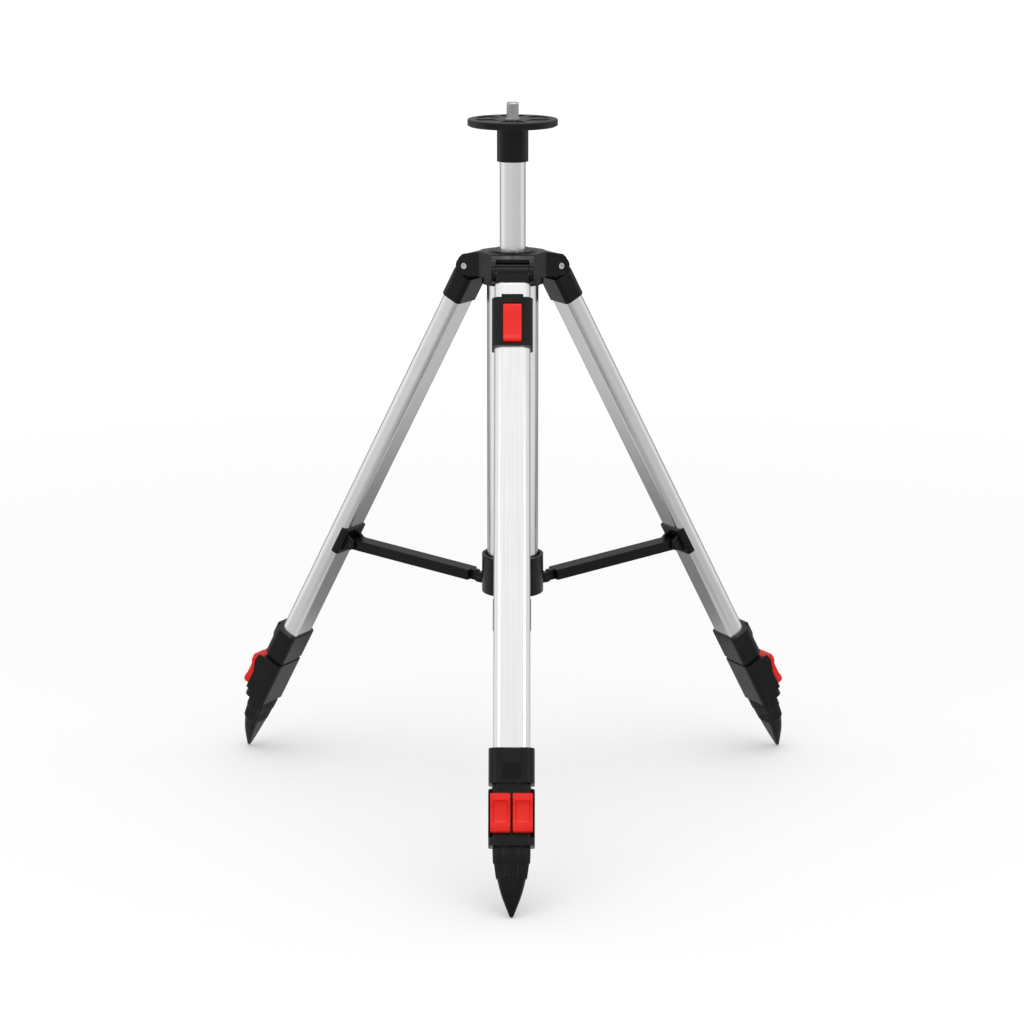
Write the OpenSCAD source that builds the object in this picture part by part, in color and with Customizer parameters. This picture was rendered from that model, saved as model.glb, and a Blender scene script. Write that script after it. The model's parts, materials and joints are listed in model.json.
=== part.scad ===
// Elevating construction tripod with three telescoping legs, a centre column
// and a round platform with an instrument stud. Legs stand at azimuth 0
// (front), -120 (left) and +120 (right). The origin is on the column's axis
// in the plane of the platform's top face. +Z is up, -Y is the front.

/* [Stance] */
// Angle of each leg from vertical when open
leg_lean = 28.5; // [27:0.1:30]
// Distance from the column's axis to a leg's hinge axis
hinge_radius = 53.4; // [52:0.1:60]
// Distance down the leg from its hinge to the centre of the foot's tip
foot_tip_u = 750.5; // [745:0.1:760]
// Height of the platform's face above the leg hinges
platform_rise = 176; // [175:1:300]

/* [Platform and column] */
// Radius of the platform plate
plate_r = 53.5; // [48:0.5:65]
// Thickness of the platform plate
plate_t = 8.8; // [7.5:0.1:12]
// Depth of the pockets in the plate's top face
plate_pocket = 1; // [0.5:0.1:2]
// Radius of the instrument stud's thread
stud_r = 7.94; // [6.5:0.01:8.5]
// Free length of the instrument stud above the plate
stud_length = 19.5; // [15:0.5:25]
// Radius of the socket under the plate
socket_r = 18.7; // [18:0.1:21]
// Length of the socket under the plate
socket_length = 41; // [35:1:50]
// Outer radius of the column tube
column_r = 15.5; // [14:0.1:16]
// Wall of the column tube
column_wall = 1.5; // [1.2:0.1:2.5]
// Length of the column tube below the plate
column_length = 434; // [420:1:440]
// Outer radius of the guide tube under the head
guide_r = 31; // [29:0.1:32]
// Wall of the guide tube
guide_wall = 2; // [1.5:0.1:2.2]
// Length of the guide tube below the leg hinges
guide_length = 397; // [380:1:410]

/* [Head] */
// Half width of a head lobe, over its two ears
lobe_half = 25; // [24.6:0.1:27]
// Thickness of one ear
ear_t = 5.3; // [4.5:0.1:5.5]
// Radius of an ear round the hinge
ear_r = 11; // [10:0.1:11.5]
// Depth of the head below the leg hinges
head_drop = 11; // [10:0.1:11.5]
// Height of the head's flat top above the leg hinges
head_rise = 20; // [19:0.1:21]
// Radius of a leg hinge bolt
bolt_r = 3; // [2.5:0.1:3.5]

/* [Leg tubes] */
// Half width of the outer leg tube
tube_half = 21; // [20.5:0.1:21.5]
// Outer face of the leg tube, out from the hinge line
tube_front = 12; // [11.5:0.1:12.2]
// Inner face of the leg tube, in from the hinge line
tube_back = 12; // [11.5:0.1:12.2]
// Wall of each leg tube
tube_wall = 1.5; // [1.2:0.1:1.8]
// Gap between one sliding tube and the next
slide_gap = 0.3; // [0.2:0.05:0.4]
// Distance down the leg to the top of the outer tube
tube_top_u = 15; // [14:0.5:18]

/* [Collars and foot] */
// Distance down the leg to the top of the upper collar
collar_top_u = 566; // [560:1:570]
// Length of the upper collar
collar_length = 40; // [36:0.1:42]
// Half width of the collars
collar_half = 26; // [25:0.1:27]
// Outer face of the collars, out from the hinge line
collar_front = 17; // [16.4:0.1:18]
// Inner face of the collars, in from the hinge line
collar_back = 14; // [13.6:0.1:14.2]
// Distance down the leg to the bottom of the lock housing
housing_bottom_u = 676; // [672:1:680]
// Width of a red lock lever
lever_width = 22.4; // [20:0.1:22.8]
// Length of a red lock lever below its pin
lever_drop = 39; // [34:0.5:42]
// Radius of the foot's rounded tip
tip_r = 2.4; // [2:0.1:2.8]
// Set-back of the foot's tip, in from the hinge line
tip_back = 10.6; // [8:0.1:11.6]

/* [Front clamp] */
// Distance down the front leg to the top of the clamp band
band_top_u = 34; // [30:0.5:40]
// Length of the clamp band
band_length = 59; // [56:0.5:62]
// Half width of the clamp band
band_half = 24; // [23:0.1:25]
// Half width of the band's red lever
band_lever_half = 10.8; // [9:0.1:11]

/* [Spreader] */
// Distance down the leg to the arm's pin in its clip
clip_pin_u = 409; // [408:1:411]
// Distance from the hinge line in to the arm's pin
clip_pin_back = 21.5; // [21.3:0.1:22]
// Length of the clip along the leg
clip_length = 36; // [40:1:50]
// Width of a spreader arm
arm_width = 20; // [18:0.5:20.5]
// Depth of a spreader arm
arm_depth = 13; // [10:0.5:13]
// Wall of the arm's channel
arm_wall = 2; // [1.5:0.1:3]
// Outer radius of the spreader hub
hub_r = 37.5; // [37:0.1:39]
// Height of the spreader hub
hub_height = 47; // [40:1:50]
// Distance from the column's axis to a hub pin
hub_pin_radius = 44; // [43:0.5:46]
// Height of the hub pins above the hub's lower face
hub_pin_rise = 12; // [11:0.5:14]

/* [Hidden] */
$fn = 64;
SIDES = ["front", "left", "right"];
AZIMUTHS = [0, -120, 120];

// Colours
black_plastic = [0.09, 0.09, 0.1];
silver = [0.8, 0.8, 0.82];
red_plastic = [0.88, 0.1, 0.08];
steel = [0.62, 0.62, 0.64];

// Shared gaps: one for a pin in a hole that turns on it, one for parts that pass
turn_gap = 0.08;
pass_gap = 0.4;
eps = 0.05;

// Heights, with the platform's face at zero
hinge_z = -platform_rise;
plate_under = -plate_t;
socket_bottom = plate_under - socket_length;
column_bottom = plate_under - column_length;
head_top = hinge_z + head_rise;
head_bottom = hinge_z - head_drop;
guide_bottom = hinge_z - guide_length;
hub_lip = 3;
hub_bottom = guide_bottom - hub_lip;

// Instrument stud
stud_head_r = 13;
stud_head_t = 8;

// Head
barrel_r = 11;
ear_inner = lobe_half - ear_t;
corner_radius = 32;
web_radius = hinge_radius - barrel_r - 1.5;
bush_wall = 4.2;
bush_r = column_r + slide_gap + bush_wall;
bush_flange_r = bush_r + 5;
bush_flange_t = 1.5;
crown_r = 29;
crown_t = 0.8;
shoulder_z = hinge_z + 14.4;
eave_top = hinge_z + 16;
skirt_r = guide_r + 6;
skirt_drop = 8;
eave_r = 48;
eave_z = hinge_z + barrel_r + 0.6;
guide_socket_depth = 8;
screw_head_r = 3.8;
screw_head_t = 2.4;
screw_recess_r = screw_head_r + 1.4;
screw_recess = 2.6;
socket_key_r = 1.8;

// Leg tube outline
tube_round_front = 9.5;
tube_round_back = 6;
barrel_half = ear_inner - pass_gap;
cap_half = tube_half + 2;
cap_front = tube_front + 2;
cap_back = tube_back + 2;
cap_bottom_u = 47;
cap_wide_u = 12.2;
plug_bottom_u = 58;

// Telescoping stages
step_in = tube_wall + slide_gap;
middle_top_u = 60;
middle_bottom_u = 645;
inner_top_u = 80;
inner_bottom_u = 692;
outer_bottom_u = collar_top_u + collar_length - 4;

// Lock housing and its levers
neck_u = collar_top_u + collar_length + slide_gap;
neck_length = 5.7;
housing_top_u = neck_u + neck_length;
neck_half = 22;
neck_front = 13;
lever_pin_out = 18;
lever_pin_u = housing_top_u + 11;
housing_front = 14;
ring_top_u = 665;
cheek_t = 1.6;
lever_pin_r = 1.5;
lever_eye_r = 3.2;
lever_gap_half = 1.4;
panel_half = 10;
panel_stand = 5.5;

// Foot steps, down from its top
foot_top_u = housing_bottom_u + slide_gap;
foot_step_1 = 17.7;
foot_step_2 = 34.7;
flute_pitch = 6.6;
foot_half = 21.4;
foot_back = 13.9;

// Front clamp
band_front = 16;
band_back = 15;
band_pocket_floor = 12.4;
band_pin_u = band_top_u + 12;
band_pin_out = 14.7;
band_pin_r = 1.3;
band_lever_top_u = band_top_u + 8.4;
band_lever_bottom_u = band_top_u + 55;
band_lever_front = 18;

// Spreader, from the pins at both ends of an arm
clip_pin_r = 2.5;
hub_pin_r = 2;
arm_eye_r = arm_depth/2;
tongue_half = 4;
tongue_r = 6.3;
tongue_length = 14;
clip_half = tube_half + 0.8;
clip_back = clip_pin_back - arm_eye_r - pass_gap;
clip_open = 5;
clip_lug_t = 4;
clip_lug_inner = arm_width/2 + pass_gap;
clip_lug_outer = clip_lug_inner + clip_lug_t;
clip_lug_r = 6.5;
hub_ear_t = 4.6;
hub_ear_inner = tongue_half + pass_gap;
hub_ear_r = 6;
hub_slot_radius = guide_r - 7;
hub_ear_root = hub_r - 3;
hub_pin_z = hub_bottom + hub_pin_rise;
clip_pin_radius = hinge_radius + clip_pin_u*sin(leg_lean) - clip_pin_back*cos(leg_lean);
clip_pin_z = hinge_z - clip_pin_u*cos(leg_lean) - clip_pin_back*sin(leg_lean);
arm_run = clip_pin_radius - hub_pin_radius;
arm_fall = clip_pin_z - hub_pin_z;
arm_length = sqrt(arm_run*arm_run + arm_fall*arm_fall);
arm_slope = atan2(arm_fall, arm_run);

// Turns what follows to the leg's azimuth
module at_azimuth(i) {
    rotate([0, 0, AZIMUTHS[i]]) children();
}

// The leg's own frame: origin on its hinge, -Z down the leg, -Y outward
module leg_frame(i) {
    at_azimuth(i) translate([0, -hinge_radius, hinge_z]) rotate([-leg_lean, 0, 0]) children();
}

// The arm's own frame: origin on its clip pin, +Y toward the hub pin
module arm_frame(i) {
    at_azimuth(i) translate([0, -clip_pin_radius, clip_pin_z]) rotate([-arm_slope, 0, 0]) children();
}

// A bar of round section along X, centred
module cross_rod(r, half) {
    rotate([0, 90, 0]) cylinder(r = r, h = 2*half, center = true);
}

// Rounded outline: half width, outer face, inner face, corner radii
module outline(half, front, back, round_front, round_back) {
    translate([-half, -front + round_front]) square([2*half, front + back - round_front - round_back]);
    translate([-(half - round_front), -front]) square([2*(half - round_front), front + back - round_back]);
    translate([-(half - round_back), -front + round_front])
        square([2*(half - round_back), front + back - round_front]);
    for (s = [-1, 1]) {
        translate([s*(half - round_front), -front + round_front]) circle(r = round_front);
        translate([s*(half - round_back), back - round_back]) circle(r = round_back);
    }
}

// The leg tube's outline, drawn in by an inset
module tube_outline(inset) {
    outline(tube_half - inset, tube_front - inset, tube_back - inset,
        tube_round_front - inset, tube_round_back - inset);
}

// Extrudes an outline between two distances down the leg
module down_leg(u0, u1) {
    translate([0, 0, -u1]) linear_extrude(height = u1 - u0) children();
}

// Extrudes a profile drawn as (out, down) across the leg between two widths
module across_leg(x0, x1) {
    translate([x0, 0, 0]) rotate([90, 0, 90]) linear_extrude(height = x1 - x0)
        mirror([1, 0]) mirror([0, 1]) children();
}

// Head

function turned(p, a) = [p[0]*cos(a) - p[1]*sin(a), p[0]*sin(a) + p[1]*cos(a)];

// Extrudes a profile drawn as (radius, height) across a lobe between two widths
module across_lobe(x0, x1) {
    translate([x0, 0, 0]) rotate([90, 0, 90]) linear_extrude(height = x1 - x0)
        mirror([1, 0]) children();
}

module head_core() {
    corners = [for (a = [0, 120, 240], s = [-1, 1]) turned([s*lobe_half, -corner_radius], a)];
    translate([0, 0, head_bottom]) linear_extrude(height = head_top - crown_t - head_bottom) polygon(corners);
    translate([0, 0, head_bottom]) cylinder(r = crown_r, h = head_top - head_bottom);
}

module head_lobe(i) {
    at_azimuth(i) {
        across_lobe(-lobe_half, lobe_half) polygon([[corner_radius - 4, head_bottom],
            [web_radius, head_bottom], [web_radius, eave_z], [eave_r, eave_z], [eave_r, eave_top],
            [corner_radius - 4, head_top - crown_t]]);
        for (s = [-1, 1]) translate([s*(lobe_half + ear_inner)/2, 0, 0]) {
            translate([0, -hinge_radius, hinge_z]) cross_rod(ear_r, ear_t/2);
            across_lobe(-ear_t/2, ear_t/2) polygon([[corner_radius - 3, head_bottom + 1],
                [corner_radius, head_bottom], [hinge_radius - 3, head_bottom],
                [hinge_radius + 4, hinge_z - 6], [hinge_radius + 10, hinge_z - 1],
                [hinge_radius + 6.6, hinge_z + 10], [hinge_radius + 2, shoulder_z],
                [corner_radius - 3, head_top - crown_t - 0.1]]);
        }
    }
}

module head_hub() color(black_plastic) {
    difference() {
        union() {
            head_core();
            for (i = [0:2]) head_lobe(i);
            translate([0, 0, head_bottom - skirt_drop]) cylinder(r = skirt_r, h = skirt_drop + 1);
        }
        translate([0, 0, head_bottom - 1]) cylinder(r = bush_r, h = head_top - head_bottom + 2);
        translate([0, 0, head_top - bush_flange_t]) cylinder(r = bush_flange_r, h = bush_flange_t + 1);
        translate([0, 0, head_bottom - skirt_drop - 1]) cylinder(r = guide_r, h = guide_socket_depth + skirt_drop + 1);
        for (i = [0:2]) at_azimuth(i) translate([0, -hinge_radius, hinge_z]) {
            cross_rod(bolt_r, lobe_half + 1);
            for (s = [-1, 1]) translate([s*(lobe_half - screw_recess/2 + 0.5), 0, 0])
                cross_rod(screw_recess_r, screw_recess/2 + 0.5);
        }
    }
}

module head_bush() color(black_plastic) {
    difference() {
        union() {
            translate([0, 0, head_bottom + guide_socket_depth])
                cylinder(r = bush_r, h = head_top - head_bottom - guide_socket_depth);
            translate([0, 0, head_top - bush_flange_t]) cylinder(r = bush_flange_r, h = bush_flange_t + 0.8);
        }
        translate([0, 0, head_bottom]) cylinder(r = column_r + slide_gap, h = head_top - head_bottom + 5);
    }
}

module guide_tube() color(silver) {
    translate([0, 0, guide_bottom]) difference() {
        cylinder(r = guide_r, h = head_bottom + guide_socket_depth - guide_bottom);
        translate([0, 0, -1])
            cylinder(r = guide_r - guide_wall, h = head_bottom + guide_socket_depth - guide_bottom + 2);
    }
}

module hinge_bolts() color(steel) {
    for (i = [0:2]) at_azimuth(i) translate([0, -hinge_radius, hinge_z]) difference() {
        union() {
            cross_rod(bolt_r, lobe_half - screw_recess);
            translate([lobe_half - screw_recess + screw_head_t/2, 0, 0]) cross_rod(screw_head_r, screw_head_t/2);
        }
        translate([lobe_half - screw_recess + screw_head_t, 0, 0]) cross_rod(socket_key_r, 1.4);
    }
}

module hinge_nuts() color(steel) {
    for (i = [0:2]) at_azimuth(i)
        translate([-(lobe_half - screw_recess + screw_head_t/2), -hinge_radius, hinge_z]) difference() {
            cross_rod(screw_head_r, screw_head_t/2);
            translate([-screw_head_t/2, 0, 0]) cross_rod(socket_key_r, 1.4);
        }
}

// Column and platform

module column_tube() color(silver) {
    translate([0, 0, column_bottom]) difference() {
        cylinder(r = column_r, h = column_length);
        translate([0, 0, -1]) cylinder(r = column_r - column_wall, h = column_length + 2);
    }
}

module column_piston() color(black_plastic) {
    translate([0, 0, column_bottom - 6]) {
        cylinder(r = guide_r - guide_wall - slide_gap, h = 6);
        cylinder(r = column_r - column_wall, h = 24);
        difference() {
            cylinder(r = guide_r - guide_wall - slide_gap, h = 12);
            translate([0, 0, -1]) cylinder(r = guide_r - guide_wall - slide_gap - 2.5, h = 24);
        }
    }
}

module platform_plate() color(black_plastic) {
    difference() {
        rotate_extrude() polygon([[0, plate_under], [plate_r - 3, plate_under], [plate_r, plate_under + 1.6],
            [plate_r, -1], [plate_r - 1, 0], [0, 0]]);
        translate([0, 0, plate_under - 1]) cylinder(r = stud_r + 1.5, h = plate_t + 2);
        for (a = [0:60:300]) rotate([0, 0, a + 8]) translate([0, 0, -plate_pocket])
            rotate_extrude(angle = 44) translate([plate_r - 31, 0]) square([22, plate_pocket + 1]);
    }
}

module platform_socket() color(black_plastic) {
    translate([0, 0, socket_bottom]) difference() {
        union() {
            cylinder(r = socket_r, h = socket_length);
            translate([0, 0, socket_length - 3]) cylinder(r = socket_r + 2, h = 3);
        }
        translate([0, 0, -1]) cylinder(r = column_r, h = socket_length + 2);
    }
}

module instrument_stud() color(steel) {
    difference() {
        union() {
            cylinder(r = stud_r, h = stud_length - 1.5);
            translate([0, 0, stud_length - 1.5]) cylinder(r1 = stud_r, r2 = stud_r - 1.5, h = 1.5);
            translate([0, 0, plate_under - stud_head_t]) cylinder(r = stud_r + 1.5, h = plate_t + stud_head_t);
            translate([0, 0, plate_under - stud_head_t]) cylinder(r = stud_head_r, h = stud_head_t, $fn = 6);
        }
        translate([0, 0, stud_length - 2]) cylinder(r = 2.5, h = 3);
    }
}

// Legs

module leg_cap(short) color(black_plastic) {
    difference() {
        union() {
            cross_rod(barrel_r, barrel_half);
            down_leg(0, cap_wide_u + 1) outline(barrel_half, barrel_r - 0.5, barrel_r - 0.5, 1, 1);
            if (short) {
                down_leg(8, plug_bottom_u) tube_outline(tube_wall);
            } else {
                down_leg(cap_wide_u, cap_bottom_u) outline(cap_half, cap_front, cap_back, 10, 6);
            }
        }
        cross_rod(bolt_r + turn_gap, barrel_half + 1);
        if (!short) {
            down_leg(cap_wide_u + 2, cap_bottom_u + 1) tube_outline(0);
        }
        if (short) {
            down_leg(tube_top_u, plug_bottom_u + 1) difference() {
                square([80, 80], center = true);
                tube_outline(tube_wall);
            }
        }
    }
}

module outer_tube(top_u) color(silver) {
    down_leg(top_u, outer_bottom_u) difference() {
        tube_outline(0);
        tube_outline(tube_wall);
    }
}

module middle_tube() color(silver) {
    down_leg(middle_top_u, middle_bottom_u) difference() {
        tube_outline(step_in);
        tube_outline(step_in + tube_wall);
    }
}

module inner_tube() color(silver) {
    down_leg(inner_top_u, inner_bottom_u) difference() {
        tube_outline(2*step_in);
        tube_outline(2*step_in + tube_wall);
    }
}

module spreader_clip() color(black_plastic) {
    difference() {
        union() {
            down_leg(clip_pin_u - clip_length/2, clip_pin_u + clip_length/2)
                outline(clip_half, -clip_open, clip_back, 0.5, 4);
            for (s = [-1, 1]) translate([s*(clip_lug_inner + clip_lug_outer)/2, 0, 0]) {
                translate([0, clip_pin_back, -clip_pin_u]) cross_rod(clip_lug_r, clip_lug_t/2);
                across_leg(-clip_lug_t/2, clip_lug_t/2) polygon([[-tube_back - 0.5, clip_pin_u - 9],
                    [-clip_pin_back, clip_pin_u - clip_lug_r], [-clip_pin_back, clip_pin_u + clip_lug_r],
                    [-tube_back - 0.5, clip_pin_u + 16]]);
            }
        }
        down_leg(clip_pin_u - 60, clip_pin_u + 60) tube_outline(0);
        translate([0, clip_pin_back, -clip_pin_u]) cross_rod(clip_pin_r, clip_lug_outer + 1);
    }
}

module clip_pin() color(steel) {
    translate([0, clip_pin_back, -clip_pin_u]) cross_rod(clip_pin_r, clip_lug_outer);
}

module upper_collar() color(black_plastic) {
    difference() {
        union() {
            down_leg(collar_top_u, collar_top_u + collar_length)
                outline(collar_half, collar_front, collar_back, 10, 7);
            across_leg(-panel_half, panel_half) polygon([[collar_front - 1, collar_top_u],
                [collar_front + panel_stand, collar_top_u + 1.5], [collar_front + panel_stand, collar_top_u + 18],
                [collar_front - 0.5, collar_top_u + collar_length - 2]]);
        }
        down_leg(collar_top_u - 1, outer_bottom_u) tube_outline(0);
        down_leg(outer_bottom_u - 1, collar_top_u + collar_length + 1) tube_outline(tube_wall);
    }
}

module lock_housing() color(black_plastic) {
    difference() {
        union() {
            down_leg(neck_u, housing_top_u + 1) outline(neck_half, neck_front, collar_back - 1, 8, 6);
            down_leg(housing_top_u, housing_bottom_u) outline(collar_half, housing_front, collar_back, 9, 7);
            down_leg(ring_top_u, housing_bottom_u) outline(collar_half, collar_front, collar_back, 9, 7);
            for (s = [-1, 1]) translate([s*(collar_half - cheek_t/2), 0, 0])
                across_leg(-cheek_t/2, cheek_t/2) lever_cheek();
            across_leg(-cheek_t/2, cheek_t/2) lever_cheek();
        }
        down_leg(neck_u - 1, middle_bottom_u) tube_outline(step_in);
        down_leg(middle_bottom_u - 1, housing_bottom_u + 1) tube_outline(step_in + tube_wall);
        translate([0, -lever_pin_out, -lever_pin_u]) cross_rod(lever_pin_r, collar_half + 1);
    }
}

// Side wall that holds a lever pin, drawn as (out, down)
module lever_cheek() {
    polygon([[8, housing_top_u + 1], [lever_pin_out + 2, housing_top_u + 3], [lever_pin_out + 4, lever_pin_u + 2],
        [lever_pin_out + 1, lever_pin_u + 12], [collar_front, lever_pin_u + 18], [collar_front, ring_top_u + 1],
        [8, ring_top_u + 2]]);
}

module lever_pin() color(steel) {
    translate([0, -lever_pin_out, -lever_pin_u]) cross_rod(lever_pin_r, collar_half - 0.3);
}

// One red lever on the side of the given sign
module lock_lever(s) color(red_plastic) {
    x_near = lever_gap_half;
    x_far = lever_gap_half + lever_width - pass_gap/2;
    difference() {
        translate([0, -lever_pin_out, -lever_pin_u]) union() {
            translate([s*(x_near + x_far)/2, 0, 0]) cross_rod(lever_eye_r, (x_far - x_near)/2);
            across_leg(s > 0 ? x_near : -x_far, s > 0 ? x_far : -x_near) polygon([[0, -lever_eye_r],
                [3.5, -4], [8, -4], [10, -2], [10, 5], [7, 8], [5.5, 11], [5.5, 27], [7, 29], [8.5, 31],
                [8, 36], [5, lever_drop], [-lever_eye_r, lever_drop], [-lever_eye_r, 1]]);
        }
        translate([0, -lever_pin_out, -lever_pin_u]) cross_rod(lever_pin_r + turn_gap, collar_half + 1);
    }
}

// A slice of the foot at a distance down the leg
module foot_slice(u, half, front, back) {
    translate([0, 0, -u]) linear_extrude(height = 0.4) outline(half, front, back, front*0.7, 5);
}

module foot() color(black_plastic) {
    difference() {
        union() {
            hull($fn = 32) {
                foot_slice(foot_top_u + 0.4, foot_half, 13, foot_back);
                foot_slice(foot_top_u + foot_step_1, foot_half - 0.8, 12.2, foot_back);
            }
            hull($fn = 32) {
                foot_slice(foot_top_u + foot_step_1, foot_half - 1.8, 11.4, foot_back);
                foot_slice(foot_top_u + foot_step_2, foot_half - 4.1, 10, foot_back);
            }
            hull($fn = 32) {
                foot_slice(foot_top_u + foot_step_2, foot_half - 5.6, 8.4, foot_back);
                foot_slice(foot_top_u + foot_step_2 + 18, foot_half - 11, 1.5, foot_back);
                translate([0, tip_back, -foot_tip_u]) sphere(r = tip_r);
            }
        }
        down_leg(foot_top_u - 1, inner_bottom_u) tube_outline(2*step_in);
        for (x = [-2:2]) translate([x*flute_pitch, -14, -foot_top_u - foot_step_2 - 2])
            rotate([-3.5, 0, 0]) cylinder(r = 1.7, h = foot_step_2 + 6);
    }
}

// Front clamp

module clamp_band() color(black_plastic) {
    difference() {
        union() {
            down_leg(band_top_u, band_top_u + band_length) outline(band_half, band_front, band_back, 9, 6);
            down_leg(band_top_u - 4, band_top_u + 1) outline(band_lever_half + 2, band_front - 1.5, 0, 1, 1);
        }
        down_leg(band_top_u - 5, band_top_u + band_length + 1) tube_outline(0);
        down_leg(band_lever_top_u - 1, band_lever_bottom_u + 1)
            translate([-band_lever_half - pass_gap, -band_front - 5])
                square([2*(band_lever_half + pass_gap), 5 + band_front - band_pocket_floor]);
        translate([0, -band_pin_out, -band_pin_u]) cross_rod(band_pin_r, band_lever_half + 4);
    }
}

module clamp_lever() color(red_plastic) {
    difference() {
        across_leg(-band_lever_half, band_lever_half) polygon([
            [band_pin_out - 1.7, band_pin_u - 1.3], [band_pin_out + 0.3, band_lever_top_u + 1],
            [band_pin_out + 1.9, band_lever_top_u],
            [band_lever_front - 1, band_lever_top_u], [band_lever_front, band_lever_top_u + 4],
            [band_lever_front, band_lever_bottom_u - 8], [band_lever_front + 1.5, band_lever_bottom_u - 3],
            [band_lever_front - 1, band_lever_bottom_u], [band_pocket_floor + slide_gap, band_lever_bottom_u],
            [band_pocket_floor + slide_gap, band_pin_u]]);
        translate([0, -band_pin_out, -band_pin_u]) cross_rod(band_pin_r + turn_gap, band_lever_half + 1);
    }
}

module clamp_pin() color(steel) {
    translate([0, -band_pin_out, -band_pin_u]) cross_rod(band_pin_r, band_lever_half + 4);
}

// Spreader

module spreader_hub() color(black_plastic) {
    difference() {
        union() {
            translate([0, 0, hub_bottom]) cylinder(r = hub_r, h = hub_height);
            for (i = [0:2]) at_azimuth(i) for (s = [-1, 1]) translate([s*(hub_ear_inner + hub_ear_t/2), 0, 0]) {
                translate([0, -hub_pin_radius, hub_pin_z]) cross_rod(hub_ear_r, hub_ear_t/2);
                translate([-hub_ear_t/2, -hub_pin_radius, hub_pin_z - hub_ear_r])
                    cube([hub_ear_t, hub_pin_radius - hub_ear_root, 2*hub_ear_r]);
            }
        }
        translate([0, 0, guide_bottom]) cylinder(r = guide_r, h = hub_height);
        translate([0, 0, hub_bottom - 1]) cylinder(r = guide_r - 5, h = hub_height);
        translate([0, 0, hub_bottom + hub_height - 4]) cylinder(r = guide_r + 2.6, h = 5);
        for (i = [0:2]) at_azimuth(i) {
            translate([-hub_ear_inner, -hub_pin_radius - 20, hub_bottom - 1])
                cube([2*hub_ear_inner, 20 + hub_pin_radius - hub_slot_radius, hub_pin_rise + hub_ear_r + 2]);
            translate([0, -hub_pin_radius, hub_pin_z]) cross_rod(hub_pin_r, hub_ear_inner + hub_ear_t + 1);
        }
    }
}

module hub_pins() color(steel) {
    for (i = [0:2]) at_azimuth(i) translate([0, -hub_pin_radius, hub_pin_z])
        cross_rod(hub_pin_r, hub_ear_inner + hub_ear_t);
}

module spreader_arm() color(black_plastic) {
    bar_end = arm_length - tongue_length;
    difference() {
        union() {
            cross_rod(arm_eye_r, arm_width/2);
            translate([-arm_width/2, 0, -arm_depth/2]) cube([arm_width, bar_end, arm_depth]);
            translate([-tongue_half, bar_end - 10, -tongue_r])
                cube([2*tongue_half, tongue_length + 10, 2*tongue_r]);
            translate([0, arm_length, 0]) cross_rod(tongue_r, tongue_half);
        }
        translate([-arm_width/2 + arm_wall, 12, -arm_depth/2 - 1])
            cube([arm_width - 2*arm_wall, bar_end - 24, arm_depth - arm_wall + 1]);
        cross_rod(clip_pin_r + turn_gap, arm_width);
        translate([0, arm_length, 0]) {
            cross_rod(hub_pin_r + slide_gap, tongue_half + 1);
            rotate([arm_slope + 23, 0, 0]) translate([-tongue_half - 1, -hub_pin_r - slide_gap, 0])
                cube([2*tongue_half + 2, 2*(hub_pin_r + slide_gap), 12]);
        }
    }
}

head_hub();
head_bush();
guide_tube();
spreader_hub();
hub_pins();
hinge_bolts();
hinge_nuts();
column_tube();
column_piston();
platform_plate();
platform_socket();
instrument_stud();
leg_frame(0) clamp_band();
leg_frame(0) clamp_lever();
leg_frame(0) clamp_pin();
for (i = [0:2]) {
    leg_frame(i) leg_cap(i == 0);
    leg_frame(i) outer_tube(i == 0 ? tube_top_u : cap_wide_u + 2);
    leg_frame(i) spreader_clip();
    leg_frame(i) clip_pin();
    leg_frame(i) upper_collar();
    leg_frame(i) middle_tube();
    leg_frame(i) lock_housing();
    leg_frame(i) lock_lever(-1);
    leg_frame(i) lock_lever(1);
    leg_frame(i) lever_pin();
    leg_frame(i) inner_tube();
    leg_frame(i) foot();
    arm_frame(i) spreader_arm();
}
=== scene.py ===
"""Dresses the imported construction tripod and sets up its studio.

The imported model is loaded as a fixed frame. Each sub-assembly below is a class
that holds its sizes in millimetres, builds its pieces in the same frame as the
solids, and says which body carries each piece.
"""

from __future__ import annotations

import json
import logging
import math
from dataclasses import dataclass
from enum import Enum
from typing import Any, Callable, Sequence

import bmesh
import bpy
from mathutils import Matrix, Vector

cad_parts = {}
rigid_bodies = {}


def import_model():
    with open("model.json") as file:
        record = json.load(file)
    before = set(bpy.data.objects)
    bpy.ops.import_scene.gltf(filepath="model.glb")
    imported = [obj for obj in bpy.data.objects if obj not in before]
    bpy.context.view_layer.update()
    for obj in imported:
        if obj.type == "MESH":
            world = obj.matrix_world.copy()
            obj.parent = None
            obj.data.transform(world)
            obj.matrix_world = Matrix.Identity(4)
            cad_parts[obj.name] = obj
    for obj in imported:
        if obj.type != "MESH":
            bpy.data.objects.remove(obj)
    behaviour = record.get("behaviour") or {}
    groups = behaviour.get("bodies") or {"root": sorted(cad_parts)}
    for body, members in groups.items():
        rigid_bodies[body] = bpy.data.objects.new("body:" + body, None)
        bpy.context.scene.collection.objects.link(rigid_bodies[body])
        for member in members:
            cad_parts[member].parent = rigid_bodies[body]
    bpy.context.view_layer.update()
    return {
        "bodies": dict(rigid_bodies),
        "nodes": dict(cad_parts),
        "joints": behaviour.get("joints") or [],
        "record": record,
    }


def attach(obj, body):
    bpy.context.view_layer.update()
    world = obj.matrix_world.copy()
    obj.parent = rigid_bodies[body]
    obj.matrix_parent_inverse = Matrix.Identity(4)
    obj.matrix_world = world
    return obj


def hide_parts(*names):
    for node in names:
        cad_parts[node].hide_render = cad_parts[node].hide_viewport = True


LOG = logging.getLogger("tripod")
MM = 0.001
CREASE_DEGREES = 32.0
FLAT_SIDE_SHARE = 0.1
EDGE_SHARE = 0.9
FIRST_STEP_SHARE = 0.3
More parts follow.
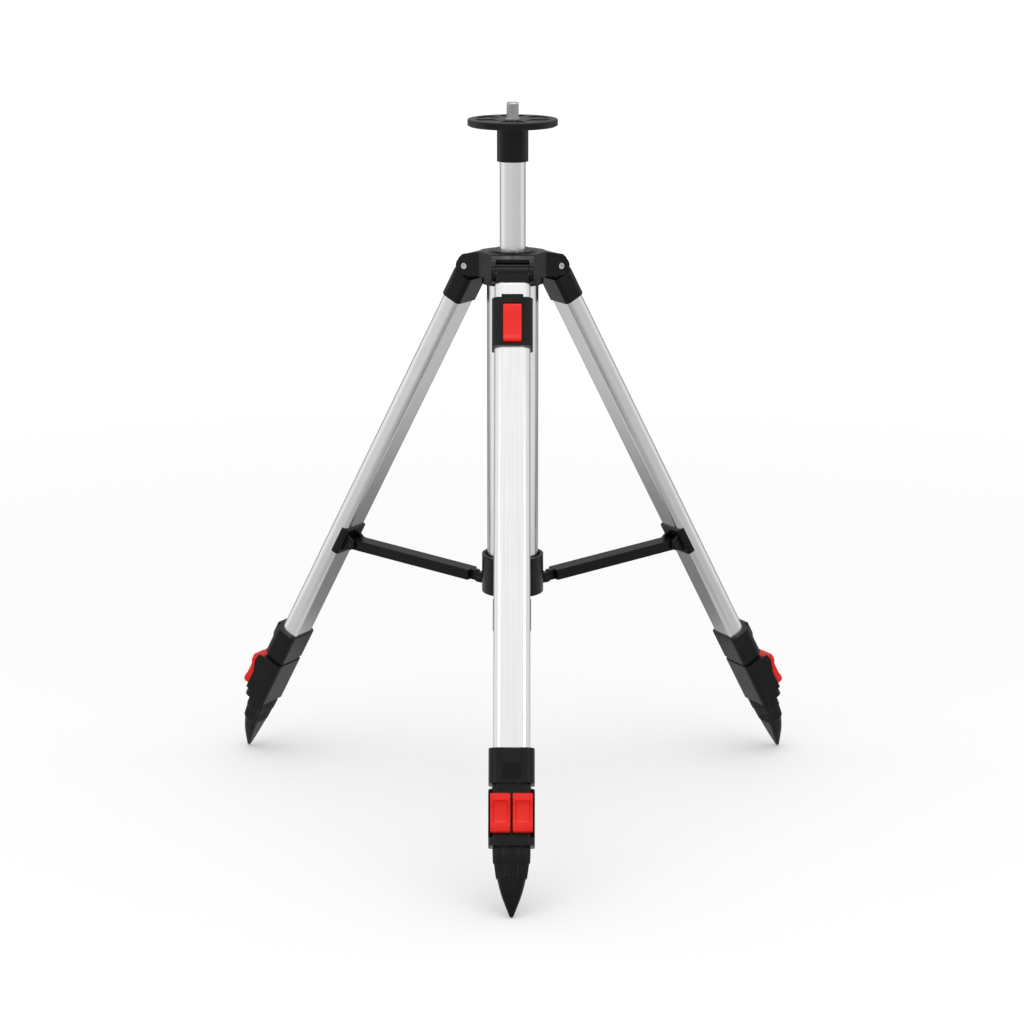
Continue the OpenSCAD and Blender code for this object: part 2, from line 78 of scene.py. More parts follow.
Point2 = tuple[float, float]
Point3 = tuple[float, float, float]
Colour = tuple[float, float, float, float]


class Side(Enum):
    """The three legs, each with its azimuth in degrees from the front."""

    FRONT = ("front", 0.0)
    LEFT = ("left", -120.0)
    RIGHT = ("right", 120.0)

    @property
    def label(self) -> str:
        """The word that node and body names end in."""
        return self.value[0]

    @property
    def azimuth(self) -> float:
        """Azimuth of the leg in radians."""
        return math.radians(self.value[1])


class Slot(Enum):
    """Material slots of the record."""

    ALUMINIUM = "aluminium_tube"
    BLACK = "black_plastic"
    RED = "red_plastic"
    STEEL = "steel_parts"


# Shader maths


class Socket:
    """Wraps one output socket, so that shader maths reads as Python."""

    def __init__(self, graph: "Graph", link: bpy.types.NodeSocket) -> None:
        """Keeps the graph and the output socket.

        Args:
            graph: The graph that new nodes go into.
            link: The output socket that this value comes from.
        """
        self.graph = graph
        self.link = link

    def _math(self, operation: str, *values: Any) -> "Socket":
        """Adds one Math node and returns its value."""
        inputs = dict(enumerate(values))
        return self.graph.node("ShaderNodeMath", {"operation": operation}, inputs)["Value"]

    def __add__(self, other: Any) -> "Socket":
        """Sum of two values."""
        return self._math("ADD", self, other)

    def __radd__(self, other: Any) -> "Socket":
        """Sum with a number on the left."""
        return self._math("ADD", other, self)

    def __sub__(self, other: Any) -> "Socket":
        """Difference of two values."""
        return self._math("SUBTRACT", self, other)

    def __rsub__(self, other: Any) -> "Socket":
        """Difference with a number on the left."""
        return self._math("SUBTRACT", other, self)

    def __mul__(self, other: Any) -> "Socket":
        """Product of two values."""
        return self._math("MULTIPLY", self, other)

    def ramp(self, low: float, high: float) -> "Socket":
        """Rises smoothly from 0 to 1 as this value goes from low to high.

        Args:
            low: Value at which the result leaves 0.
            high: Value at which the result reaches 1.

        Returns:
            The smoothed value.
        """
        settings = {"interpolation_type": "SMOOTHSTEP"}
        inputs = {"Value": self, "From Min": low, "From Max": high}
        return self.graph.node("ShaderNodeMapRange", settings, inputs)["Result"]


class Graph:
    """A node tree with one method that makes every node."""

    def __init__(self, tree: bpy.types.NodeTree) -> None:
        """Empties the tree.

        Args:
            tree: The node tree of a material or a world.
        """
        self.tree = tree
        tree.nodes.clear()

    def node(
        self, kind: str, settings: dict[str, Any] | None = None, inputs: dict[Any, Any] | None = None
    ) -> dict[str, Socket]:
        """Makes one node.

        Args:
            kind: The node's type.
            settings: Properties of the node, set before its sockets.
            inputs: Values or links of its sockets, by name or number.

        Returns:
            The node's outputs by name, the first of a name where it repeats.
        """
        made = self.tree.nodes.new(kind)
        for name, value in (settings or {}).items():
            setattr(made, name, value)
        for name, value in (inputs or {}).items():
            target = made.inputs[name]
            if isinstance(value, Socket):
                self.tree.links.new(value.link, target)
            else:
                target.default_value = value
        outputs: dict[str, Socket] = {}
        for output in made.outputs:
            if output.enabled and output.name not in outputs:
                outputs[output.name] = Socket(self, output)
        return outputs

    def vector(self, operation: str, inputs: dict[Any, Any], output: str = "Vector") -> Socket:
        """Adds one Vector Math node and returns one of its outputs."""
        return self.node("ShaderNodeVectorMath", {"operation": operation}, inputs)[output]

    def clamp(self, value: Socket) -> Socket:
        """Keeps a value between 0 and 1."""
        return self.node("ShaderNodeClamp", None, {"Value": value})["Result"]

    def glow(self, strength: Socket) -> Socket:
        """A white emission."""
        return self.node("ShaderNodeEmission", None, {"Color": grey(1.0), "Strength": strength})["Emission"]

    def mix_colour(self, factor: Any, first: Any, second: Any) -> Socket:
        """Mixes two colours by a factor."""
        made = self.tree.nodes.new("ShaderNodeMix")
        made.data_type = "RGBA"
        ends = [s for s in made.inputs if s.type == "RGBA"]
        for target, value in ((made.inputs[0], factor), (ends[0], first), (ends[1], second)):
            if isinstance(value, Socket):
                self.tree.links.new(value.link, target)
            else:
                target.default_value = value
        return Socket(self, next(s for s in made.outputs if s.type == "RGBA"))

    def surface(self, shader: Socket, kind: str = "ShaderNodeOutputMaterial") -> None:
        """Links a shader to the output node."""
        self.node(kind, None, {"Surface": shader})


def grey(level: float) -> Colour:
    """A neutral colour."""
    return (level, level, level, 1.0)


def shade(colour: Point3, share: float = 1.0) -> Colour:
    """A share of a colour, opaque."""
    red, green, blue = (min(1.0, part * share) for part in colour)
    return (red, green, blue, 1.0)


# Finishes


@dataclass(frozen=True)
class Finish:
    """What all finishes share.

    Attributes:
        name: The material's name.
        edge: Radius in metres that sharp edges seem to have.
        edge_samples: Rays that soften an edge.
    """

    name: str
    edge: float = 0.0007
    edge_samples: int = 6

    def material(self) -> bpy.types.Material:
        """Builds the material, or returns it when it is there."""
        found = bpy.data.materials.get(self.name)
        if found:
            return found
        made = bpy.data.materials.new(self.name)
        made.use_nodes = True
        graph = Graph(made.node_tree)
        graph.surface(self.shader(graph))
        return made

    def shader(self, graph: Graph) -> Socket:
        """Builds the finish's shader."""
        raise NotImplementedError

    def place(self, graph: Graph) -> Socket:
        """Coordinates in metres that stay with the piece."""
        return graph.node("ShaderNodeTexCoord")["Object"]

    def relief(self, graph: Graph, height: Socket, depth: float) -> Socket:
        """Softened edges with a fine relief on top.

        Args:
            graph: The graph to build in.
            height: The relief, 0 to 1.
            depth: Depth of the relief in metres.

        Returns:
            The normal.
        """
        soft = graph.node("ShaderNodeBevel", {"samples": self.edge_samples}, {"Radius": self.edge})["Normal"]
        inputs = {"Height": height, "Distance": depth, "Strength": 1.0, "Normal": soft}
        return graph.node("ShaderNodeBump", None, inputs)["Normal"]

    def noise(self, graph: Graph, place: Socket, scale: float, detail: float) -> Socket:
        """A noise value round 0.5 at a scale per metre."""
        inputs = {"Vector": place, "Scale": scale, "Detail": detail}
        return graph.node("ShaderNodeTexNoise", None, inputs)["Fac"]


@dataclass(frozen=True)
class SatinTube(Finish):
    """Drawn and anodised aluminium with fine lines along the tube.

    Attributes:
        along: Direction of the tube.
        colour: The metal's colour.
        dark: Share of the colour in the darkest lines.
        light: Share of the colour in the lightest lines.
        roughness: Roughness halfway between the lines.
        stretch: Share of the place along the tube that the lines ignore.
        line_scale: Lines per metre across the tube.
        line_depth: Depth of the lines in metres.
        cloud_scale: Clouds per metre.
    """

    along: Point3 = (0.0, 0.0, 1.0)
    edge: float = 0.0035
    colour: Point3 = (0.80, 0.80, 0.81)
    dark: float = 0.93
    light: float = 1.02
    roughness: float = 0.24
    stretch: float = 0.985
    line_scale: float = 520.0
    line_depth: float = 0.000003
    cloud_scale: float = 14.0

    def shader(self, graph: Graph) -> Socket:
        """Metal with lines along the tube."""
        place = self.place(graph)
        down = graph.vector("DOT_PRODUCT", {0: place, 1: self.along}, "Value")
        pull = graph.vector("SCALE", {0: self.along, "Scale": down * self.stretch})
        lines = self.noise(graph, graph.vector("SUBTRACT", {0: place, 1: pull}), self.line_scale, 5.0)
        cloud = self.noise(graph, place, self.cloud_scale, 2.0)
        tone = (lines * 0.7 + cloud * 0.3).ramp(0.25, 0.75)
        inputs = {
            "Base Color": graph.mix_colour(tone, shade(self.colour, self.dark), shade(self.colour, self.light)),
            "Metallic": 1.0,
            "Roughness": self.roughness + (lines - 0.5) * 0.08 + (cloud - 0.5) * 0.06,
            "Normal": self.relief(graph, lines, self.line_depth),
        }
        return graph.node("ShaderNodeBsdfPrincipled", None, inputs)["BSDF"]


@dataclass(frozen=True)
class MouldedPlastic(Finish):
    """Injection-moulded plastic with a fine spark-eroded skin.

    Attributes:
        colour: The plastic's colour.
        rubbed: Its colour where hands rub it.
        roughness: Roughness halfway between rubbed and fresh.
        skin_depth: Depth of the skin in metres.
        gloss: Strength of the reflection.
        skin_scale: Grains of the skin per metre.
        patch_scale: Rubbed patches per metre.
        wear: Share of the rubbed colour in a patch.
    """

    colour: Point3 = (0.004, 0.004, 0.0042)
    rubbed: Point3 = (0.011, 0.011, 0.0115)
    roughness: float = 0.27
    skin_depth: float = 0.00002
    gloss: float = 0.20
    skin_scale: float = 2600.0
    patch_scale: float = 32.0
    wear: float = 0.45

    def shader(self, graph: Graph) -> Socket:
        """Plastic with a fine skin and faint rubbed patches."""
        place = self.place(graph)
        skin = self.noise(graph, place, self.skin_scale, 2.0)
        patches = self.noise(graph, place, self.patch_scale, 4.0)
        wear = patches.ramp(0.55, 0.75) * self.wear
        inputs = {
            "Base Color": graph.mix_colour(wear, shade(self.colour), shade(self.rubbed)),
            "Roughness": self.roughness + (patches - 0.5) * 0.22 + (skin - 0.5) * 0.06,
            "Specular IOR Level": self.gloss,
            "Normal": self.relief(graph, skin, self.skin_depth),
        }
        return graph.node("ShaderNodeBsdfPrincipled", None, inputs)["BSDF"]


@dataclass(frozen=True)
class ZincSteel(Finish):
    """Plated steel.

    Attributes:
        colour: The plating's colour.
        dark: Share of the colour in the darkest clouds.
        roughness: Roughness halfway between the clouds.
        cloud_scale: Clouds per metre.
        cloud_depth: Depth of the plating's unevenness in metres.
    """

    colour: Point3 = (0.66, 0.66, 0.67)
    dark: float = 0.85
    roughness: float = 0.24
    cloud_scale: float = 260.0
    cloud_depth: float = 0.00001

    def shader(self, graph: Graph) -> Socket:
        """Metal with faint clouding of the plating."""
        place = self.place(graph)
        cloud = self.noise(graph, place, self.cloud_scale, 4.0)
        inputs = {
            "Base Color": graph.mix_colour(cloud, shade(self.colour, self.dark), shade(self.colour)),
            "Metallic": 1.0,
            "Roughness": self.roughness + (cloud - 0.5) * 0.2,
            "Normal": self.relief(graph, cloud, self.cloud_depth),
        }
        return graph.node("ShaderNodeBsdfPrincipled", None, inputs)["BSDF"]


@dataclass(frozen=True)
class Stance:
    """Where the legs stand, in millimetres and degrees."""

    lean: float = 28.5
    hinge_radius: float = 53.4
    hinge_z: float = -176.0
    ground_z: float = -843.0

    def leg_matrix(self, side: Side) -> Matrix:
        """The leg's frame: z up the leg, y inward, origin on its hinge."""
        turn = Matrix.Rotation(side.azimuth, 4, "Z")
        shift = Matrix.Translation((0.0, -self.hinge_radius, self.hinge_z))
        return turn @ shift @ Matrix.Rotation(-math.radians(self.lean), 4, "X")

    def direction(self, side: Side) -> Point3:
        """Unit vector down the leg."""
        down = self.leg_matrix(side).to_3x3() @ Vector((0.0, 0.0, -1.0))
        return (down.x, down.y, down.z)


STANCE = Stance()
BLACK = MouldedPlastic("moulded_black")
RED = MouldedPlastic(
    "moulded_red",
    colour=(0.76, 0.010, 0.004),
    rubbed=(0.80, 0.018, 0.009),
    roughness=0.30,
    skin_depth=0.000008,
    gloss=0.3,
)
STEEL = ZincSteel("zinc_steel")
DARK_STEEL = ZincSteel("blackened_steel", colour=(0.045, 0.045, 0.047))


def tube_finish(node: str) -> SatinTube:
    """The aluminium finish whose lines run along this tube."""
    for side in Side:
        if node.endswith(side.label):
            return SatinTube(f"satin_tube_{side.label}", along=STANCE.direction(side))
    return SatinTube("satin_tube_upright")


# Mesh building


def rounded_section(
    half: float, front: float, back: float, round_front: float, round_back: float, steps: int
) -> list[Point2]:
    """Outline across a leg: x along the hinge, y inward.

    Args:
        half: Half width.
        front: Outer face, out from the hinge line.
        back: Inner face, in from the hinge line.
        round_front: Corner radius at the outer face.
        round_back: Corner radius at the inner face.
        steps: Points in each corner.

    Returns:
        The outline's points, anticlockwise.
    """
    corners = (
        (half - round_back, back - round_back, round_back, 0.0),
        (-half + round_back, back - round_back, round_back, 90.0),
        (-half + round_front, -front + round_front, round_front, 180.0),
        (half - round_front, -front + round_front, round_front, 270.0),
    )
    points: list[Point2] = []
    for x, y, radius, start in corners:
        for step in range(steps + 1):
            angle = math.radians(start + 90.0 * step / steps)
            points.append((x + radius * math.cos(angle), y + radius * math.sin(angle)))
    return points


def loft(name: str, rings: Sequence[Sequence[Point3]], matrix: Matrix, finish: Finish) -> bpy.types.Object:
    """Joins closed rings into one closed skin.

    Args:
        name: The piece's name.
        rings: Rings of equal length, in millimetres.
        matrix: Placement in millimetres.
        finish: The piece's finish.

    Returns:
        The new object.
    """
    mesh = bmesh.new()
    scale = Matrix.Scale(MM, 4) @ matrix
    made = [[mesh.verts.new(scale @ Vector(point)) for point in ring] for ring in rings]
    count = len(made[0])
    for low, high in zip(made, made[1:]):
        for index in range(count):
            after = (index + 1) % count
            mesh.faces.new((low[index], low[after], high[after], high[index]))
    mesh.faces.new(list(reversed(made[0])))
    mesh.faces.new(made[-1])
    bmesh.ops.recalc_face_normals(mesh, faces=mesh.faces)
    return finish_piece(name, mesh, finish)


def finish_piece(name: str, mesh: bmesh.types.BMesh, finish: Finish) -> bpy.types.Object:
    """Turns a bmesh into a dressed object with smooth faces and crisp creases."""
    for face in mesh.faces:
        face.smooth = True
    for edge in mesh.edges:
        if len(edge.link_faces) == 2:
            edge.smooth = edge.calc_face_angle(0.0) < math.radians(CREASE_DEGREES)
    data = bpy.data.meshes.new(name)
    mesh.to_mesh(data)
    mesh.free()
    data.materials.append(finish.material())
    piece = bpy.data.objects.new(name, data)
    bpy.context.scene.collection.objects.link(piece)
    return piece


def enlist(piece: bpy.types.Object, body: str, slot: Slot, *stands_for: str) -> None:
    """Puts a piece on its body and hides the nodes it stands for."""
    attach(piece, body)
    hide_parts(*stands_for)
    LOG.info("piece %s on %s", piece.name, body)


def across(profile: Callable[[float], list[Point2]], stations: Sequence[float]) -> list[list[Point3]]:
    """Rings of a profile, drawn as (out, down), at stations across a leg."""
    return [[(x, -out, -down) for out, down in profile(x)] for x in stations]


def shrunk(points: Sequence[Point2], inset: float) -> list[Point2]:
    """Moves a profile's points toward its middle by a fixed distance."""
    mid_x = sum(p[0] for p in points) / len(points)
    mid_y = sum(p[1] for p in points) / len(points)
    out: list[Point2] = []
    for x, y in points:
        away = math.hypot(x - mid_x, y - mid_y) or 1.0
        keep = max(0.0, 1.0 - inset / away)
        out.append((mid_x + (x - mid_x) * keep, mid_y + (y - mid_y) * keep))
    return out


def evenly(points: Sequence[Point2], count: int) -> list[Point2]:
    """Points at even steps along a closed outline."""
    closed = list(points) + [points[0]]
    steps = [math.dist(a, b) for a, b in zip(closed, closed[1:])]
    length = sum(steps)
    out: list[Point2] = []
    piece, walked = 0, 0.0
    for index in range(count):
        wanted = length * index / count
        while walked + steps[piece] < wanted:
            walked += steps[piece]
            piece += 1
        share = (wanted - walked) / (steps[piece] or 1.0)
        (ax, ay), (bx, by) = closed[piece], closed[piece + 1]
        out.append((ax + (bx - ax) * share, ay + (by - ay) * share))
    return out


# Sub-assemblies


@dataclass(frozen=True)
class Stud:
    """The threaded instrument stud, 5/8 inch with 11 threads per inch."""

    radius: float = 7.94
    length: float = 19.5
    pitch: float = 2.309
    depth: float = 1.5
    tip: float = 1.5
    shank_radius: float = 9.4
    head_radius: float = 12.4
    plate_under: float = -8.8
    head_height: float = 8.0
    socket_radius: float = 2.5
    socket_depth: float = 2.0
    crest_share: float = 0.12
    flank_share: float = 0.76
    run_in: float = 1.2
    head_chamfer: float = 1.0
    chamfer: float = 0.3
    around: int = 72
    rows_a_pitch: int = 12

    def radius_at(self, z: float, turn: float) -> float:
        """Radius of the thread at a height and a part of a turn."""
        phase = (z / self.pitch - turn) % 1.0
        flank = min(1.0, max(0.0, (abs(phase - 0.5) * 2.0 - self.crest_share) / self.flank_share))
        fade = min(1.0, max(0.0, z / self.run_in))
        depth = self.depth * (1.0 - flank) * fade
        limit = self.radius - max(0.0, z - (self.length - self.tip))
        return min(self.radius - depth, limit)

    def build(self) -> None:
        """Builds the stud with its shank and head."""
        rings: list[list[Point3]] = []

        def ring(radius_of: Callable[[float], float], z: float) -> None:
            """Adds one ring."""
            points: list[Point3] = []
            for step in range(self.around):
                turn = step / self.around
                angle = 2.0 * math.pi * turn
                radius = radius_of(turn)
                points.append((radius * math.cos(angle), radius * math.sin(angle), z))
            rings.append(points)

        bottom = self.plate_under - self.head_height
        for radius, z in (
            (self.head_radius - self.head_chamfer, bottom),
            (self.head_radius, bottom + self.head_chamfer),
            (self.head_radius, self.plate_under - 0.1),
            (self.shank_radius, self.plate_under),
            (self.shank_radius, -self.chamfer),
            (self.shank_radius - self.chamfer, 0.0),
        ):
            ring(lambda _turn, r=radius: r, z)
        rows = int(self.length / self.pitch * self.rows_a_pitch)
        for row in range(rows + 1):
            z = self.length * row / rows
            ring(lambda turn, height=z: self.radius_at(height, turn), z)
        top = self.length
        for radius, z in (
            (self.socket_radius + self.chamfer, top),
            (self.socket_radius, top - self.chamfer),
            (self.socket_radius, top - self.socket_depth),
        ):
            ring(lambda _turn, r=radius: r, z)
        piece = loft("stud_thread", rings, Matrix.Identity(4), STEEL)
        enlist(piece, "column", Slot.STEEL, "instrument_stud")


@dataclass(frozen=True)
class LockLever:
    """A red cam lever on a lock housing, with a scooped finger face."""

    pin_out: float = 18.0
    pin_down: float = 623.0
    near: float = 1.4
    far: float = 23.6
    edge: float = 0.9
    rail: float = 2.6
    slope: float = 1.2

    RAILS = (
        (0.0, -3.2), (3.5, -4.0), (8.2, -4.0), (9.6, -3.0), (10.0, -1.2), (10.0, 5.0), (8.9, 7.4), (7.9, 9.4),
        (7.4, 12.0), (7.4, 20.0), (7.4, 26.6), (7.8, 28.6), (8.3, 30.6), (8.6, 33.0), (8.2, 36.4), (6.8, 38.4),
        (4.6, 39.0), (-2.8, 39.0), (-3.3, 38.2), (-3.3, 20.0), (-3.3, 1.0), (-2.3, -2.2),
    )
    SCOOP = (
        (0.0, -3.2), (3.5, -4.0), (8.2, -4.0), (9.6, -3.0), (10.0, -1.2), (9.7, 4.2), (7.2, 5.6), (6.0, 7.6),
        (5.6, 11.0), (5.2, 19.0), (5.6, 26.0), (6.6, 28.8), (8.3, 30.2), (8.6, 33.0), (8.2, 36.4), (6.8, 38.4),
        (4.6, 39.0), (-2.8, 39.0), (-3.3, 38.2), (-3.3, 20.0), (-3.3, 1.0), (-2.3, -2.2),
    )

    def profile(self, x: float) -> list[Point2]:
        """Profile at a distance from the housing's middle."""
        inner = min(x - self.near, self.far - x)
        if inner <= self.edge * FLAT_SIDE_SHARE:
            points = shrunk(self.RAILS, self.edge)
        elif inner < self.edge * EDGE_SHARE:
            points = shrunk(self.RAILS, self.edge * FIRST_STEP_SHARE)
        else:
            share = min(1.0, max(0.0, (inner - self.rail) / self.slope))
            share = share * share * (3.0 - 2.0 * share)
            points = [
                (r[0] + (s[0] - r[0]) * share, r[1] + (s[1] - r[1]) * share) for r, s in zip(self.RAILS, self.SCOOP)
            ]
        return [(self.pin_out + out, self.pin_down + down) for out, down in points]

    def stations(self) -> list[float]:
        """Where the profile is drawn, from one side to the other."""
        steps = (0.0, self.edge * 0.35, self.edge, self.rail, self.rail + self.slope * 0.33,
                 self.rail + self.slope * 0.66, self.rail + self.slope, self.rail + 2.5 * self.slope)
        left = [self.near + step for step in steps]
        return left + [self.near + self.far - x for x in reversed(left)]

    def build(self, side: Side) -> None:
        """Builds the two levers of one leg."""
        for letter, word, sign in (("a", "outer", -1.0), ("b", "inner", 1.0)):
            rings = [[(sign * x, y, z) for x, y, z in ring] for ring in across(self.profile, self.stations())]
            piece = loft(f"lock_lever_{letter}_{side.label}", rings, STANCE.leg_matrix(side), RED)
            enlist(piece, f"lever_{word}_{side.label}", Slot.RED, f"lever_{letter}_{side.label}")


@dataclass(frozen=True)
class ClampLever:
    """The red lever of the front leg's clamp band, left bare."""

    half: float = 10.8
    edge: float = 1.0
    crown: float = 0.5
    face_out: float = 15.0

    PROFILE = (
        (13.0, 44.7), (15.0, 43.4), (16.6, 42.5), (17.4, 43.2), (18.0, 46.4), (18.0, 60.0), (18.0, 80.5),
        (18.7, 83.6), (19.5, 85.8), (19.1, 88.0), (17.0, 89.0), (13.2, 89.0), (12.7, 88.2), (12.7, 46.0),
    )

    def profile(self, x: float) -> list[Point2]:
        """Profile at a distance from the leg's middle."""
        inner = self.half - abs(x)
        if inner < self.edge * FLAT_SIDE_SHARE:
            return shrunk(self.PROFILE, self.edge)
        if inner < self.edge * EDGE_SHARE:
            return shrunk(self.PROFILE, self.edge * FIRST_STEP_SHARE)
        rise = self.crown * (1.0 - (x / self.half) ** 2) - self.crown
        return [(out + (rise if out > self.face_out else 0.0), down) for out, down in self.PROFILE]

    def build(self) -> None:
        """Builds the lever."""
        inner = (0.0, 0.35 * self.edge, self.edge, 2.5, 5.0, 8.0)
        stations = [-self.half + x for x in inner] + [0.0] + [self.half - x for x in reversed(inner)]
        piece = loft("band_lever", across(self.profile, stations), STANCE.leg_matrix(Side.FRONT), RED)
        enlist(piece, "clamp_lever_body", Slot.RED, "clamp_lever")


@dataclass(frozen=True)
class FootPoint:
    """A pointed foot with a fluted top in two steps."""

    flutes: int = 24
    flute_depth: float = 1.3
    around: int = 240
    corner_steps: int = 14
    front_roundness: float = 0.92
    back_roundness: float = 0.62

    STATIONS = (
        (676.4, 20.7, 12.3, 13.3, 0.2), (677.3, 21.4, 13.0, 13.9, 1.0), (685.0, 21.2, 12.7, 13.9, 1.0),
        (692.8, 20.9, 12.4, 13.9, 1.0), (693.7, 20.3, 11.9, 13.5, 0.6), (694.1, 19.6, 11.5, 13.4, 1.0),
        (702.0, 18.6, 11.0, 13.4, 1.0), (709.6, 17.5, 10.4, 13.3, 1.0), (710.8, 17.0, 10.0, 13.2, 0.5),
        (711.2, 16.0, 8.7, 13.1, 0.0), (718.0, 14.4, 6.9, 13.0, 0.0), (725.0, 12.5, 4.6, 12.9, 0.0),
        (732.0, 10.2, 1.6, 12.9, 0.0), (739.0, 7.5, -2.0, 12.9, 0.0), (745.0, 5.0, -5.2, 12.95, 0.0),
        (749.5, 3.1, -7.5, 13.0, 0.0), (751.8, 2.0, -8.8, 12.5, 0.0), (752.7, 0.9, -9.9, 11.4, 0.0),
    )

    def ring(self, down: float, half: float, front: float, back: float, fluting: float) -> list[Point3]:
        """One ring of the foot, with its flutes."""
        mid = (back - front) / 2.0
        radius = min(half, (front + back) / 2.0)
        rounds = (radius * self.front_roundness, radius * self.back_roundness)
        outline = rounded_section(half, front, back, *rounds, self.corner_steps)
        made: list[Point3] = []
        for index, (x, y) in enumerate(evenly(outline, self.around)):
            wave = 0.5 - 0.5 * math.cos(2.0 * math.pi * self.flutes * index / self.around)
            away = math.hypot(x, y - mid) or 1.0
            keep = 1.0 - fluting * self.flute_depth * wave / away
            made.append((x * keep, mid + (y - mid) * keep, -down))
        return made

    def build(self, side: Side) -> None:
        """Builds one foot."""
        rings = [self.ring(*station) for station in self.STATIONS]
        piece = loft(f"foot_point_{side.label}", rings, STANCE.leg_matrix(side), BLACK)
        enlist(piece, f"inner_{side.label}", Slot.BLACK, f"foot_{side.label}")


class CarriedSolids:
    """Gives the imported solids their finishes."""

    FINISHES = {Slot.BLACK.value: BLACK, Slot.RED.value: RED, Slot.STEEL.value: STEEL}
    PINS = ("lever_pin_", "clip_pin_", "hub_pins", "clamp_pin")

    def __init__(self, frame: dict[str, Any]) -> None:
        """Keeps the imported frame.
        """
        self.nodes = frame["nodes"]
        self.slots = {s["node"]: s["material_slot"] for s in frame["record"]["subparts"]}

    def build(self) -> None:
        """Assigns a finish to every node by its slot."""
        for name, piece in self.nodes.items():
            slot = self.slots[name]
            finish = tube_finish(name) if slot == Slot.ALUMINIUM.value else self.FINISHES[slot]
            if name.startswith(self.PINS):
                finish = DARK_STEEL
            if not piece.material_slots:
                piece.data.materials.append(None)
            for entry in piece.material_slots:
                entry.material = finish.material()
            LOG.info("finish %s on %s", finish.name, name)


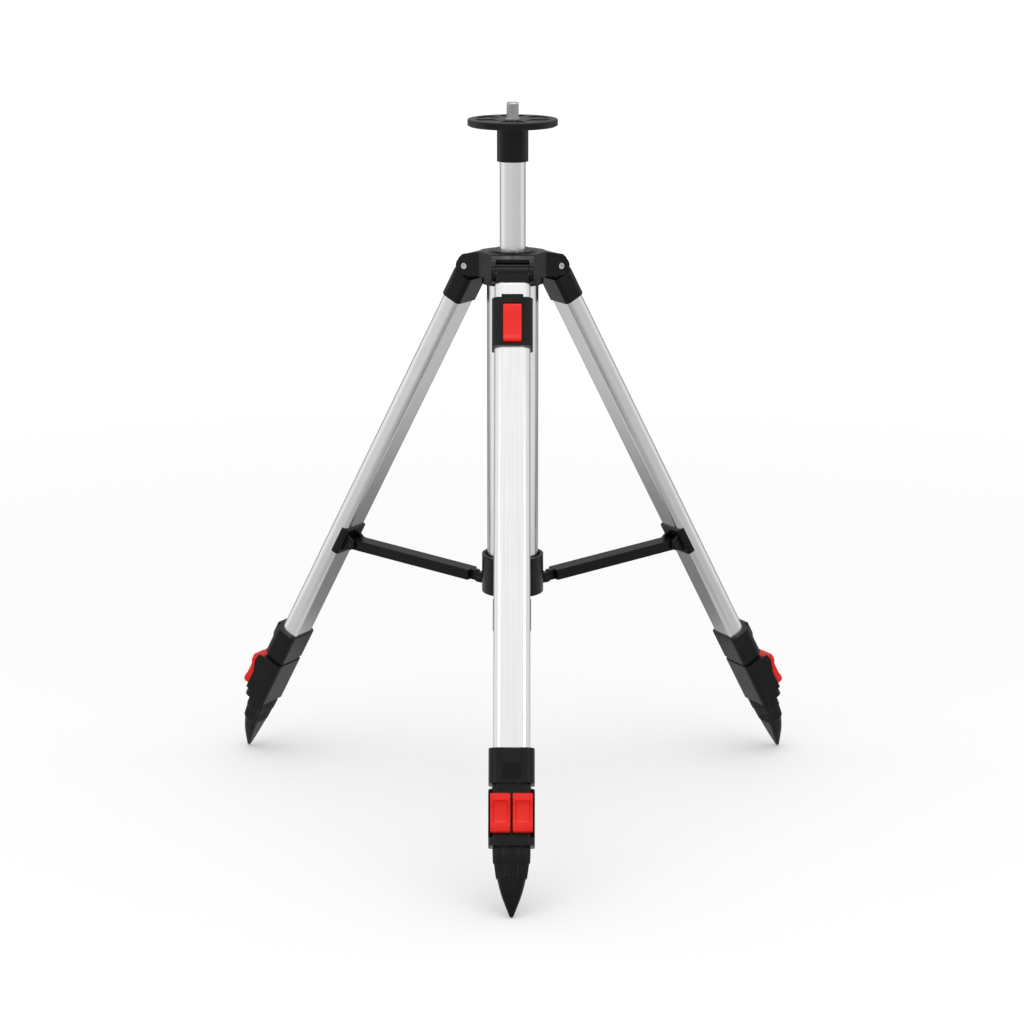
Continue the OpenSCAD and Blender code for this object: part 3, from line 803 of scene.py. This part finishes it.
@dataclass(frozen=True)
class Studio:
    """Camera, lights and a white floor.

    Attributes:
        camera_place: The camera's place in millimetres.
        pitch: How far the camera looks down, in degrees.
        heading: How far it looks to the left, in degrees.
        lens: Focal length in millimetres.
        sensor: Width of the sensor in millimetres.
        floor_half: Half the floor's side in metres.
        floor_drop: How far the floor lies below the feet, in millimetres.
        floor_matt: Lightness of the floor.
        near_lift: Glow of the floor round the feet.
        far_lift: Glow of the floor far away.
        side_level: Brightness of the studio at the object's left.
        right_fall: How much darker it is at the right, from the middle.
        front_fall: How much darker it is in front.
        back_fall: How much darker it is behind.
        near_fall: Share that is lost close to the object.
        ceiling: Brightness of the ceiling.
        far_away: Distance in metres at which the world's directions are taken.
    """

    camera_place: Point3 = (10.9, -3344.9, 345.9)
    pitch: float = 13.83
    heading: float = 0.20
    lens: float = 99.32
    sensor: float = 36.0
    floor_half: float = 30.0
    floor_drop: float = 0.3
    floor_matt: float = 0.80
    near_lift: float = 0.08
    far_lift: float = 0.30
    side_level: float = 0.97
    right_fall: float = 0.06
    front_fall: float = 0.26
    back_fall: float = 0.62
    near_fall: float = 0.30
    ceiling: float = 1.12
    far_away: float = 10.0

    LAMPS = (
        ("overhead", (0.0, -0.4, 2.2), (0.0, 0.0, -0.6), 1.6, 12.0),
        ("key_left", (-2.0, -2.2, 1.0), (0.0, 0.0, -0.4), 1.2, 5.0),
        ("key_right", (2.0, -2.2, 1.0), (0.0, 0.0, -0.4), 1.2, 5.0),
    )

    def camera(self) -> None:
        """Places the camera at the photograph's viewing angle."""
        data = bpy.data.cameras.new("camera")
        data.lens = self.lens
        data.sensor_width = self.sensor
        data.clip_end = 200.0
        made = bpy.data.objects.new("camera", data)
        made.location = Vector(self.camera_place) * MM
        made.rotation_euler = (math.radians(90.0 - self.pitch), 0.0, math.radians(self.heading))
        bpy.context.scene.collection.objects.link(made)
        bpy.context.scene.camera = made

    def ring_level(self, graph: Graph, way: Socket) -> Socket:
        """Level of the studio round the object, by direction from its middle.

        Args:
            graph: The graph to build in.
            way: A place on the floor, or a direction times a far distance.

        Returns:
            The level: bright at both sides, greyer in front and darkest behind.
        """
        flat = graph.vector("MULTIPLY", {0: way, 1: (1.0, 1.0, 0.0)})
        part = graph.node("ShaderNodeSeparateXYZ", None, {0: graph.vector("NORMALIZE", {0: flat})})
        reach = graph.vector("LENGTH", {0: flat}, "Value").ramp(0.9, 1.8)
        front = (part["Y"] * -1.0).ramp(0.10, 0.36)
        back = graph.clamp(part["Y"].ramp(0.84, 0.98) + part["Y"].ramp(0.40, 0.72) * reach)
        fall = part["X"] * self.right_fall + front * self.front_fall + back * self.back_fall
        return (self.side_level - fall) * (1.0 - self.near_fall + reach * self.near_fall)

    def world(self) -> None:
        """A pale studio with a bright ceiling."""
        made = bpy.data.worlds.new("studio")
        bpy.context.scene.world = made
        made.use_nodes = True
        graph = Graph(made.node_tree)
        way = graph.node("ShaderNodeTexCoord")["Generated"]
        top = graph.node("ShaderNodeSeparateXYZ", None, {0: way})["Z"].ramp(0.30, 0.70)
        ring = self.ring_level(graph, graph.vector("SCALE", {0: way, "Scale": self.far_away}))
        level = ring + top * (self.ceiling - ring)
        path = graph.node("ShaderNodeLightPath")
        strength = level + path["Is Camera Ray"] * (1.0 - level)
        inputs = {"Color": grey(1.0), "Strength": strength}
        graph.surface(graph.node("ShaderNodeBackground", None, inputs)["Background"], "ShaderNodeOutputWorld")

    def floor(self) -> None:
        """A white floor that keeps a soft shadow."""
        mesh = bmesh.new()
        level = (STANCE.ground_z - self.floor_drop) * MM
        half = self.floor_half
        corners = ((-half, -half), (half, -half), (half, half), (-half, half))
        mesh.faces.new([mesh.verts.new((x, y, level)) for x, y in corners])
        data = bpy.data.meshes.new("floor")
        mesh.to_mesh(data)
        mesh.free()
        material = bpy.data.materials.new("white_floor")
        material.use_nodes = True
        graph = Graph(material.node_tree)
        path = graph.node("ShaderNodeLightPath")
        matt = graph.node("ShaderNodeBsdfDiffuse", None, {"Color": grey(self.floor_matt)})["BSDF"]
        place = graph.node("ShaderNodeNewGeometry")["Position"]
        away = graph.vector("LENGTH", {0: place}, "Value").ramp(1.0, 5.0)
        lift = graph.glow(path["Is Camera Ray"] * (self.near_lift + away * (self.far_lift - self.near_lift)))
        straight = graph.node("ShaderNodeAddShader", None, {0: matt, 1: lift})["Shader"]
        mirrored = graph.glow(self.ring_level(graph, place))
        shine = graph.clamp(path["Is Glossy Ray"] + path["Is Transmission Ray"])
        graph.surface(graph.node("ShaderNodeMixShader", None, {0: shine, 1: straight, 2: mirrored})["Shader"])
        data.materials.append(material)
        made = bpy.data.objects.new("floor", data)
        bpy.context.scene.collection.objects.link(made)

    def lamp(self, name: str, place: Point3, aim: Point3, size: float, power: float) -> None:
        """Adds one soft area lamp.

        Args:
            name: The lamp's name.
            place: Its place in metres.
            aim: The point it faces, in metres.
            size: Its side in metres.
            power: Its power in watts.
        """
        data = bpy.data.lights.new(name, "AREA")
        data.size = size
        data.energy = power
        made = bpy.data.objects.new(name, data)
        made.location = place
        made.rotation_euler = (Vector(aim) - Vector(place)).to_track_quat("-Z", "Y").to_euler()
        bpy.context.scene.collection.objects.link(made)

    def build(self) -> None:
        """Builds the whole studio."""
        bpy.context.scene.view_settings.view_transform = "Standard"
        self.camera()
        self.world()
        self.floor()
        for lamp in self.LAMPS:
            self.lamp(*lamp)


def main() -> None:
    """Builds every class in order."""
    logging.basicConfig(level=logging.INFO, format="%(name)s: %(message)s")
    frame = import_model()
    Studio().build()
    CarriedSolids(frame).build()
    Stud().build()
    ClampLever().build()
    for side in Side:
        LockLever().build(side)
        FootPoint().build(side)


if __name__ == "__main__":
    main()
